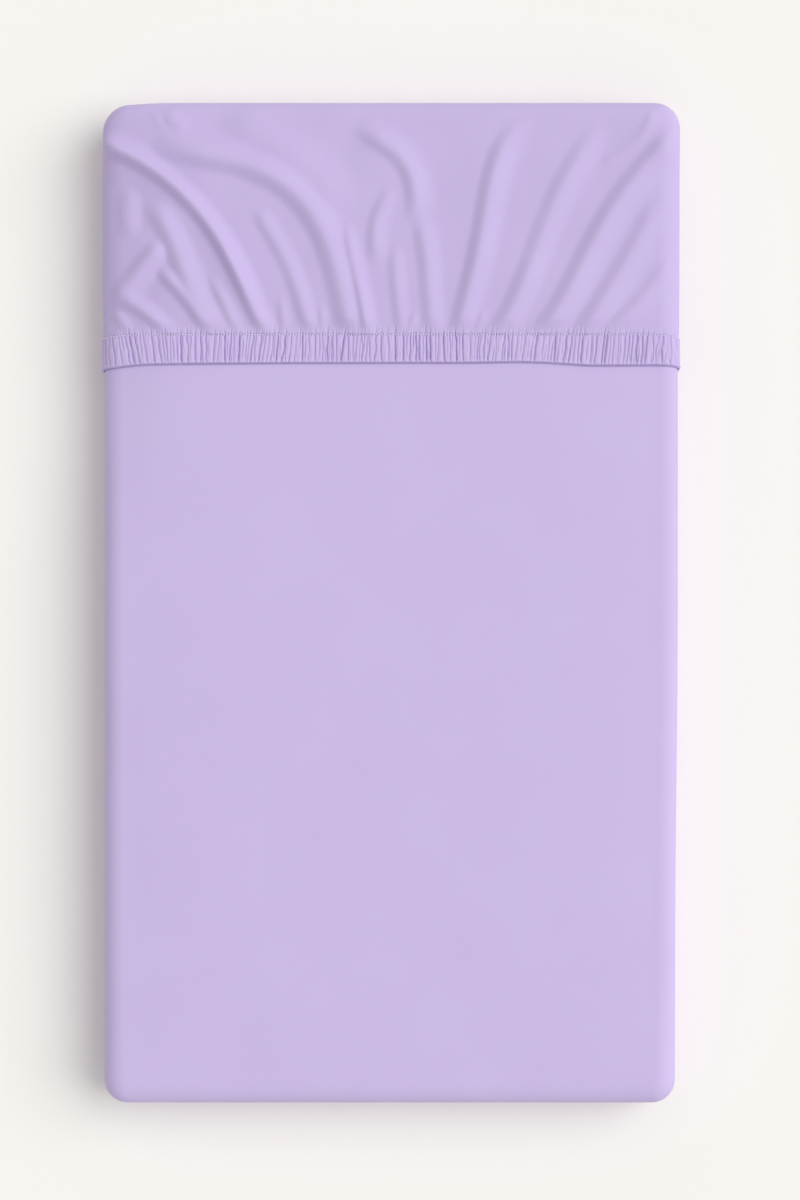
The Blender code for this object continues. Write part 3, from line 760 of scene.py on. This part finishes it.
# %% Press the creases in
CREASE_REACH = 0.008        # no crease is felt further away than this
SHARP_SHARE = 0.7           # share of its depth that is a sharp groove
TROUGH_WIDTH = 2.8          # the rest is a soft trough, this many times as wide
END_FADE = 0.15             # share of the band's width in which a crease fades out


def crease_depth(across, share):
    """Depth of the creases at places along the band.

    The share is that of the band's width from the seam, and below 0 it lies in the hood.
    """
    total = np.zeros(len(across))
    for row in CREASES:
        crease = dict(zip(CREASE_COLUMNS, row))
        near = np.flatnonzero(np.abs(across - crease["place"]) < CREASE_REACH)
        if not len(near):
            continue
        here = share[near]
        on_band = np.clip(here, 0, 1)
        middle = crease["place"] + crease["lean"] * (here - 0.5) * BAND_WIDTH
        middle += crease["bend"] * np.sin(math.pi * on_band)
        middle += crease["kink"] * np.sin(3 * math.pi * on_band)
        off = np.abs(across[near] - middle) / crease["width"]
        shape = SHARP_SHARE * bell(off, 1) + (1 - SHARP_SHARE) * bell(off, TROUGH_WIDTH)
        shown = smooth_step((on_band - crease["start"]) / END_FADE)
        shown *= smooth_step((crease["end"] - on_band) / END_FADE)
        shown *= bell(np.clip(-here, 0, None) * BAND_WIDTH, crease["run"])
        total[near] = np.maximum(total[near], crease["depth"] * shape * shown)
    return total


deepest = max(row[CREASE_COLUMNS.index("depth")] for row in CREASES)
print("the deepest crease is", round(deepest / MILLIMETRE, 2), "mm deep")

# %% [markdown]
# ## The hood
#
# One piece of cloth goes over the head end: top, both sides and the end, with its rim tucked
# round the bottom edge.  A fine grid could be shrink-wrapped over the sleeve, but it would bunch
# up at the corners.  So it is the core's skin again, at the hood's reach.
#
# The relief on it has five parts: the folds, some loose swells, a broad bulge where the cloth is
# slack, puckers just above the seam, and small gathers down the sides and at the rim.  The puckers
# need the finest quads, so the rows close up towards the seam, and there every quad is cut into
# five narrow ones.

# %% Pucker the cloth above the seam
SEAM_PINCH = 0.0003         # how far the stitches press the hood down at the seam
SEAM_PINCH_WIDTH = 0.0007
PUCKER_SHARE = 0.60         # how much of a crease's depth runs on into the hood
PUCKER_REACH = 0.02         # no pucker is felt further from the seam than this
LOBE_RISE = 0.0004          # how far the cloth between two creases puffs up there
LOBE_RUN = 0.004


def pucker_relief(across, from_seam):
    """The band's creases running out into the hood, with puffed cloth between them."""
    creased = crease_depth(across, -from_seam / BAND_WIDTH)
    puffed = bell(from_seam, LOBE_RUN) * smooth_step(from_seam / SEAM_PINCH_WIDTH)
    pinch = bell(from_seam, SEAM_PINCH_WIDTH)
    return LOBE_RISE * puffed - PUCKER_SHARE * creased - SEAM_PINCH * pinch


# %% Bulge the slack cloth
BULGE = 0.0035              # the hood stands off the mattress most of all left of the middle
# (where a slope of the bulge starts, and how long it is)
BULGE_LEFT_SLOPE = (-0.235, 0.12)
BULGE_RIGHT_SLOPE = (-0.10, 0.33)
BULGE_SEAM_SLOPE = (SEAM_Y, 0.05)
BULGE_HEAD_SLOPE = (0.41, -0.07)


def bulge_height(spots):
    """The hood's broad slack bulge: steeper to the left, long and gentle to the right."""
    def slope(places, start, length):
        return smooth_step((places - start) / length)

    across = slope(spots[:, 0], *BULGE_LEFT_SLOPE) - slope(spots[:, 0], *BULGE_RIGHT_SLOPE)
    along = slope(spots[:, 1], *BULGE_SEAM_SLOPE) * slope(spots[:, 1], *BULGE_HEAD_SLOPE)
    return BULGE * across * along


fullest = bulge_height(np.array([[BULGE_RIGHT_SLOPE[0], (SEAM_Y + CORE_HEAD) / 2]]))[0]
print("the bulge is", round(fullest / MILLIMETRE, 1), "mm high where it is fullest")

# %% Cut the quads at the mouth
MOUTH_CUTS = 5              # near its mouth every quad is cut into this many
CUT_REACH = 0.0075          # as far from the seam as this


def cut_mouth(core, leans, faces):
    """Cut the top's quads near the mouth into narrower ones, for the puckers."""
    heads, tails, shares, cut_edges = [], [], [], {}

    def cut(start, end):
        """The new points on an edge, in order from its start."""
        low, high = min(start, end), max(start, end)
        if (low, high) not in cut_edges:
            cut_edges[low, high] = len(core) + len(heads)
            for number in range(1, MOUTH_CUTS):
                heads.append(low)
                tails.append(high)
                shares.append(number / MOUTH_CUTS)
        first = cut_edges[low, high]
        points = list(range(first, first + MOUTH_CUTS - 1))
        return points if start == low else points[::-1]

    from_seam = core[faces, 1] - SEAM_Y
    on_top = (leans[faces, 0] == 0).all(axis=1) & (leans[faces, 2] > 0).all(axis=1)
    near = on_top & (from_seam.max(axis=1) < CUT_REACH)
    next_row = on_top & ~near & (from_seam.min(axis=1) < CUT_REACH)
    result = faces[~near & ~next_row].tolist()
    for ring in faces[near].tolist():
        while core[ring[0], 1] != core[ring[1], 1]:
            ring = ring[1:] + ring[:1]
        low_side = [ring[0]] + cut(ring[0], ring[1]) + [ring[1]]
        high_side = [ring[3]] + cut(ring[3], ring[2]) + [ring[2]]
        for number in range(MOUTH_CUTS):
            result.append([low_side[number], low_side[number + 1],
                           high_side[number + 1], high_side[number]])
    for ring in faces[next_row].tolist():
        wider = []
        for start, end in zip(ring, ring[1:] + ring[:1]):
            wider.append(start)
            if (min(start, end), max(start, end)) in cut_edges:
                wider += cut(start, end)
        result.append(wider)
    shares = np.array(shares)[:, None]
    core = np.concatenate([core, core[heads] * (1 - shares) + core[tails] * shares])
    leans = np.concatenate([leans, leans[heads]])
    return core, leans, result


# %% Gather the sides and the rim
RIM_GATHER = 0.0012         # depth of the soft gathers at the tucked rim
RIM_GATHER_LENGTH = 0.022
RIM_START = 0.7             # share of the top edge's turn where they start
SIDE_GATHER = 0.0009        # depth of the gathers that run from the band along the side walls
SIDE_GATHER_LENGTH = 0.011  # the distance from one to the next
SIDE_GATHER_RUN = 0.075     # how far they run


def troughs(spots, length, seed):
    """Soft random troughs, from 0 to 1 deep."""
    return 0.5 + 0.5 * np.clip(soft_waves(spots, length, seed), -1, 1)


def gather_relief(points, spots, leans, drop):
    """The gathers at the tucked rim, and those that run from the band along the side walls."""
    at_rim = smooth_step(drop / EDGE_ARC - RIM_START)
    relief = -RIM_GATHER * troughs(points[:, :2], RIM_GATHER_LENGTH, seed=25) * at_rim
    on_side = smooth_step((np.abs(spots[:, 0]) - CORE_X) / EDGE_ARC) * (leans[:, 1] == 0)
    on_side *= bell(spots[:, 1] - SEAM_Y, SIDE_GATHER_RUN)
    drawn_out = spots * (1, SIDE_GATHER_LENGTH / SIDE_GATHER_RUN)
    return relief - SIDE_GATHER * troughs(drawn_out, SIDE_GATHER_LENGTH, seed=26) * on_side


# %% Make the hood
HOOD_CLOTH = 0.0010
HOOD_COLUMNS = 260
HOOD_ROWS = 84
HOOD_WALL_ROWS = 11
HOOD_ARC = 8
LOW_ARC = 4
TUCK_TURN = math.radians(30)        # the rim ends where the cloth faces this much off straight down
ROW_CROWDING = 1.3          # above 1 the rows crowd towards the seam
FOLD_FLATTEN = 0.014        # distance before the seam in which the folds are drawn flat
FOLD_LEFT_AT_SEAM = 0.22
FOLD_FADE = 0.7             # upward share of the cloth's facing below which the folds fade
FOLD_UNEVEN = 0.10          # how unevenly a fold runs along its length
FOLD_UNEVEN_LENGTH = 0.09
SIDEWAYS_SHARE = 0.15       # how much of a fold's rise goes outwards where the cloth turns down
SIDE_FOLD_SHARE = 0.12      # what is left of a fold down the sides
SLACK = 0.0005              # height of the hood's loose swells
SLACK_LENGTH = 0.055


def make_hood():
    along = SEAM_Y + (CORE_HEAD - SEAM_Y) * np.linspace(0, 1, HOOD_ROWS) ** ROW_CROWDING
    axes = [
        stations(np.linspace(-CORE_X, CORE_X, HOOD_COLUMNS), HOOD_ARC, HOOD_ARC),
        stations(along, 0, HOOD_ARC),
        stations(np.linspace(CORE_LOW, CORE_TOP, HOOD_WALL_ROWS), LOW_ARC, HOOD_ARC),
    ]
    tuck_lean = math.tan(TUCK_TURN) - HAIR

    def hood_part(places, leans):
        under = leans[:, :, 2].max(axis=1) < HAIR - 1
        side_tuck = np.abs(leans[:, :, 0]).min(axis=1) >= tuck_lean
        head_tuck = leans[:, :, 1].min(axis=1) >= tuck_lean
        mouth = (places[:, :, 1].max(axis=1) <= SEAM_Y + HAIR) & ~under
        return ~mouth & (~under | side_tuck | head_tuck)

    core, leans, faces = cut_mouth(*box_skin(axes, hood_part))
    points, outward = push_out(core, leans, HOOD_REACH)
    draw_in(points)
    spots, drop = laid_out(core, leans)
    from_seam = core[:, 1] - SEAM_Y
    on_top = smooth_step(outward[:, 2] / FOLD_FADE) ** 2
    flatten = FOLD_LEFT_AT_SEAM + (1 - FOLD_LEFT_AT_SEAM) * smooth_step(from_seam / FOLD_FLATTEN)
    uneven = 1 + FOLD_UNEVEN * soft_waves(spots, FOLD_UNEVEN_LENGTH, seed=23)
    relief = fold_height(spots) * uneven * flatten
    relief *= SIDE_FOLD_SHARE + (1 - SIDE_FOLD_SHARE) * on_top
    relief += SLACK * (1 + soft_waves(spots, SLACK_LENGTH, seed=24)) / 2 * flatten
    relief += bulge_height(spots)
    points += outward * (SIDEWAYS_SHARE, SIDEWAYS_SHARE, 1) * relief[:, None]
    relief = gather_relief(points, spots, leans, drop)
    near_seam = from_seam < PUCKER_REACH
    relief[near_seam] += pucker_relief(spots[near_seam, 0], from_seam[near_seam])
    points += outward * relief[:, None]
    points[:, 1] -= seam_dip(spots[:, 0]) * (1 - from_seam / (CORE_HEAD - SEAM_Y))
    # The hood gets the darker copy of the cotton, which is painted shade.
    piece = new_piece("gathered_hood", points, faces, spots, hood_cotton_painted_shade)
    thicken_inward(piece, HOOD_CLOTH)
    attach(piece, "root")
    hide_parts("sheet_hood")
    return piece


gathered_hood = make_hood()

# %% [markdown]
# ## The elastic band
#
# A casing of doubled cloth, about an inch wide, with elastic inside.  Its section is a flat
# pillow: pinched thin at the seam, full in the middle, with a small rolled lip at its free edge.
# Down the sides the elastic pulls it flatter.  A curve bevelled with that section would make a
# smooth band.  But the creases have to press into it, so we walk the section along the band in
# steps finer than a crease, and every point of it asks how deep the creases are there.

# %% Make the band
# (share of the width from the seam, height in mm, how much of a crease shows there)
BAND_SECTION = (
    (-0.01, 1.2, 0.10), (0.01, 1.3, 0.20), (0.03, 1.6, 0.50), (0.06, 1.9, 0.80), (0.10, 2.1, 1.00),
    (0.16, 2.4, 1.00), (0.24, 2.6, 1.00), (0.33, 2.8, 1.00), (0.42, 2.9, 1.00), (0.51, 2.9, 1.00),
    (0.60, 2.9, 1.00), (0.69, 2.9, 1.00), (0.77, 2.8, 1.00), (0.84, 2.65, 1.00), (0.88, 2.7, 0.95),
    (0.91, 2.9, 0.80), (0.935, 3.2, 0.65), (0.955, 3.3, 0.60), (0.970, 3.0, 0.50),
    (0.983, 2.2, 0.40), (0.993, 1.1, 0.20), (1.00, 0.4, 0.10), (0.998, 0.1, 0.0), (0.97, 0.0, 0.0),
    (0.75, 0.0, 0.0), (0.5, 0.0, 0.0), (0.25, 0.0, 0.0), (0.02, 0.0, 0.0),
)
BAND_REACH = EDGE_RADIUS + 0.0003       # its underside, a little off the sleeve
BAND_STEP = 0.0003
BAND_THIN = 1.3             # millimetres of its height that it keeps everywhere
BAND_SIDE_FULLNESS = 0.32   # share of the rest that is left down the sides
SIDE_CREASE_SHARE = 0.45    # least share of a crease's depth, where the band is flat
LOBE_UNEVEN = 0.00012       # fine unevenness of the cloth between the creases
LOBE_UNEVEN_LENGTH = 0.0028
LOBE_STRETCH = 0.25         # below 1 it is longer towards the free edge than along the band


def tube_faces(rings, count):
    """Faces of a closed tube of rings with that many points each."""
    start = np.arange(rings - 1)[:, None] * count + np.arange(count)[None, :]
    beside = np.roll(start, -1, axis=1)
    quads = np.stack([start, beside, beside + count, start + count], axis=-1).reshape(-1, 4)
    first_cap = list(range(count - 1, -1, -1))
    last_cap = list(range((rings - 1) * count, rings * count))
    return quads.tolist() + [first_cap, last_cap]


def make_band():
    count = len(BAND_SECTION)
    columns = round(2 * BAND_HALF / BAND_STEP)
    share, height, creased = (np.array(column) for column in zip(*BAND_SECTION))
    across = np.repeat(np.linspace(-BAND_HALF, BAND_HALF, columns), count)
    share, height, creased = (np.tile(values, columns) for values in (share, height, creased))
    turned = smooth_step((np.abs(across) - CORE_X) / EDGE_ARC)
    y = SEAM_Y - share * width_of_band(across) - seam_dip(across)
    fullness = 1 - (1 - BAND_SIDE_FULLNESS) * turned
    thin = np.minimum(height, BAND_THIN) * MILLIMETRE
    rise = thin + (height * MILLIMETRE - thin) * fullness
    bite = SIDE_CREASE_SHARE + (1 - SIDE_CREASE_SHARE) * fullness
    pressed = crease_depth(across, share) * creased * bite
    stretched = np.stack([across, share * BAND_WIDTH * LOBE_STRETCH], axis=1)
    pressed += LOBE_UNEVEN * (1 + soft_waves(stretched, LOBE_UNEVEN_LENGTH, seed=31)) * creased
    points = around(across, BAND_REACH + np.maximum(rise - pressed, 0), y)
    faces = tube_faces(columns, count)
    piece = new_piece("ruched_band", points, faces, np.stack([across, y], axis=1), lilac_ruching)
    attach(piece, "root")
    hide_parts("elastic_band")
    return piece


ruched_band = make_band()

# %% [markdown]
# ## The stitches
#
# A row of zigzag stitching holds the casing along the seam.  Each stitch is a short thread bead,
# tilted one way and then the other.  They are real little shapes, because a bump could not catch
# the light as they do.  All of them are one joined mesh: far lighter than hundreds of objects.

# %% Make the stitches
STITCH_PITCH = 0.0023
STITCH_LENGTH = 0.0014
STITCH_THICK = 0.0010
STITCH_TILT = math.radians(28)
STITCH_TILT_WANDER = 0.12   # in radians
STITCH_BELOW_SEAM = 0.0002
STITCH_WANDER = 0.00015     # how far it strays up or down
STITCH_LIFT = 0.0018        # its middle above the band's underside
BEAD_SIDES = 6
# (share of its length, share of its thickness)
BEAD_RINGS = ((-0.5, 0.25), (-0.42, 0.8), (-0.15, 1.0), (0.15, 1.0), (0.42, 0.8), (0.5, 0.25))


def bead_shape():
    """One stitch lying along x: rings of points with closed ends."""
    turns = np.arange(BEAD_SIDES) * 2 * math.pi / BEAD_SIDES
    points = [(STITCH_LENGTH * along, STITCH_THICK / 2 * wide * math.cos(turn),
               STITCH_THICK / 2 * wide * math.sin(turn))
              for along, wide in BEAD_RINGS for turn in turns]
    return points, tube_faces(len(BEAD_RINGS), BEAD_SIDES)


def make_stitches():
    bead, bead_faces = bead_shape()
    rolls = random.Random(5)
    points, faces, places = [], [], []
    count = int(2 * BAND_HALF / STITCH_PITCH)
    for number in range(count):
        across = np.array([-BAND_HALF + (number + 0.5) * STITCH_PITCH])
        y = SEAM_Y - STITCH_BELOW_SEAM - seam_dip(across) + rolls.gauss(0, STITCH_WANDER)
        centre = around(across, BAND_REACH + STITCH_LIFT, y)[0]
        normal = around(across, BAND_REACH + STITCH_LIFT + MILLIMETRE, y)[0] - centre
        normal /= np.linalg.norm(normal)
        ahead = np.cross((0, 1, 0), normal)
        sign = 1 if number % 2 else -1
        tilt = sign * STITCH_TILT + rolls.gauss(0, STITCH_TILT_WANDER)
        along = ahead * math.cos(tilt) + np.array((0, 1, 0)) * math.sin(tilt)
        beside = np.cross(normal, along)
        faces += [[corner + len(points) for corner in face] for face in bead_faces]
        for x_bead, y_bead, z_bead in bead:
            points.append(centre + along * x_bead + beside * y_bead + normal * z_bead)
            places.append((float(across[0]) + x_bead, float(y[0]) + y_bead))
    piece = new_piece("seam_stitches", np.array(points), faces, np.array(places), seam_thread)
    print(count, "stitches")
    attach(piece, "root")
    return piece


seam_stitches = make_stitches()

# %% [markdown]
# ## How the cloth was cut
#
# The sleeve was cut wide enough to go right round. The hood was cut as an oblong with its two
# head corners taken out. The band was a strip a third longer than the elastic, given here as it
# lies folded double.

# %% [markdown]
# ## Floor, light and camera
#
# The sheet lies on a plain warm-white floor.  A soft lamp stands to the right and a little towards
# the head, and the pale room fills in the rest, so the left and foot edges shade softly and throw
# a soft shadow.  An area lamp would be brighter near by, so this is a sun lamp with a wide angle:
# it lights the whole sheet alike.  The camera looks straight down through a long lens.

# %% The floor
FLOOR_HALF = 6.0
FLOOR_DROP = 0.0004         # how far below the sleeve it lies


def make_floor():
    material = bpy.data.materials.new("floor_paper")
    material.use_nodes = True
    tree = material.node_tree
    shader = tree.nodes["Principled BSDF"]
    shader.inputs["Roughness"].default_value = 0.9
    shader.inputs["Specular IOR Level"].default_value = 0.2
    where = add_node(tree, "ShaderNodeNewGeometry", (-900, 0))
    grain = noise_at(tree, where.outputs["Position"], 3.0, 2.0, (-700, 0))
    ramp = add_node(tree, "ShaderNodeValToRGB", (-460, 0))
    ramp.color_ramp.elements[0].color = (0.925, 0.905, 0.870, 1)
    ramp.color_ramp.elements[1].color = (0.935, 0.917, 0.885, 1)
    tree.links.new(grain, ramp.inputs["Fac"])
    tree.links.new(ramp.outputs["Color"], shader.inputs["Base Color"])
    corners = [(x * FLOOR_HALF, y * FLOOR_HALF, -FLOOR_DROP)
               for x, y in ((-1, -1), (1, -1), (1, 1), (-1, 1))]
    mesh = bpy.data.meshes.new("floor")
    mesh.from_pydata(corners, [], [(0, 1, 2, 3)])
    mesh.materials.append(material)
    floor = bpy.data.objects.new("floor", mesh)
    bpy.context.collection.objects.link(floor)
    print("floor", 2 * FLOOR_HALF, "m wide")


make_floor()

# %% The light
LAMP_ANGLE = math.radians(54)       # how much of the sky the soft lamp fills
LAMP_ELEVATION = math.radians(48)
LAMP_TURN = math.radians(15)        # from the right-hand side towards the head
LAMP_SHARE = 0.43                   # of the light that falls on the flat top
ROOM_SHARE = 0.58                   # the room gives about the rest


def make_lights():
    world = bpy.data.worlds.new("pale_room")
    world.use_nodes = True
    room = world.node_tree.nodes["Background"]
    room.inputs["Color"].default_value = (1.0, 0.992, 0.978, 1)
    room.inputs["Strength"].default_value = ROOM_SHARE
    bpy.context.scene.world = world

    lamp = bpy.data.lights.new("soft_lamp", "SUN")
    lamp.angle = LAMP_ANGLE
    lamp.energy = LAMP_SHARE * math.pi / math.sin(LAMP_ELEVATION)
    stand = bpy.data.objects.new("soft_lamp", lamp)
    bpy.context.collection.objects.link(stand)
    flat = math.cos(LAMP_ELEVATION)
    stand.location = (flat * math.cos(LAMP_TURN), flat * math.sin(LAMP_TURN),
                      math.sin(LAMP_ELEVATION))
    stand.rotation_euler = (-stand.location).to_track_quat("-Z", "Y").to_euler()
    print("lamp strength", round(lamp.energy, 2))


make_lights()

# %% The camera
PHOTO_SIZE = (800, 1200)            # width and height of the photograph in pixels
OBJECT_CENTRE = (391, 603)          # where the middle of the sheet lies in it
REAL_PER_PIXEL = 0.00084            # metres to a pixel at the widest part of the sheet
CAMERA_HEIGHT = 2.46
SENSOR = 36.0                       # millimetres


def make_camera():
    data = bpy.data.cameras.new("camera")
    data.sensor_width = SENSOR
    data.lens = SENSOR * (CAMERA_HEIGHT - CORE_TOP) / (PHOTO_SIZE[1] * REAL_PER_PIXEL)
    camera = bpy.data.objects.new("camera", data)
    bpy.context.collection.objects.link(camera)
    camera.location = ((PHOTO_SIZE[0] / 2 - OBJECT_CENTRE[0]) * REAL_PER_PIXEL,
                       (OBJECT_CENTRE[1] - PHOTO_SIZE[1] / 2) * REAL_PER_PIXEL,
                       CAMERA_HEIGHT)
    bpy.context.scene.camera = camera
    bpy.context.scene.view_settings.view_transform = "Standard"
    print("lens", round(data.lens, 1), "mm")


make_camera()
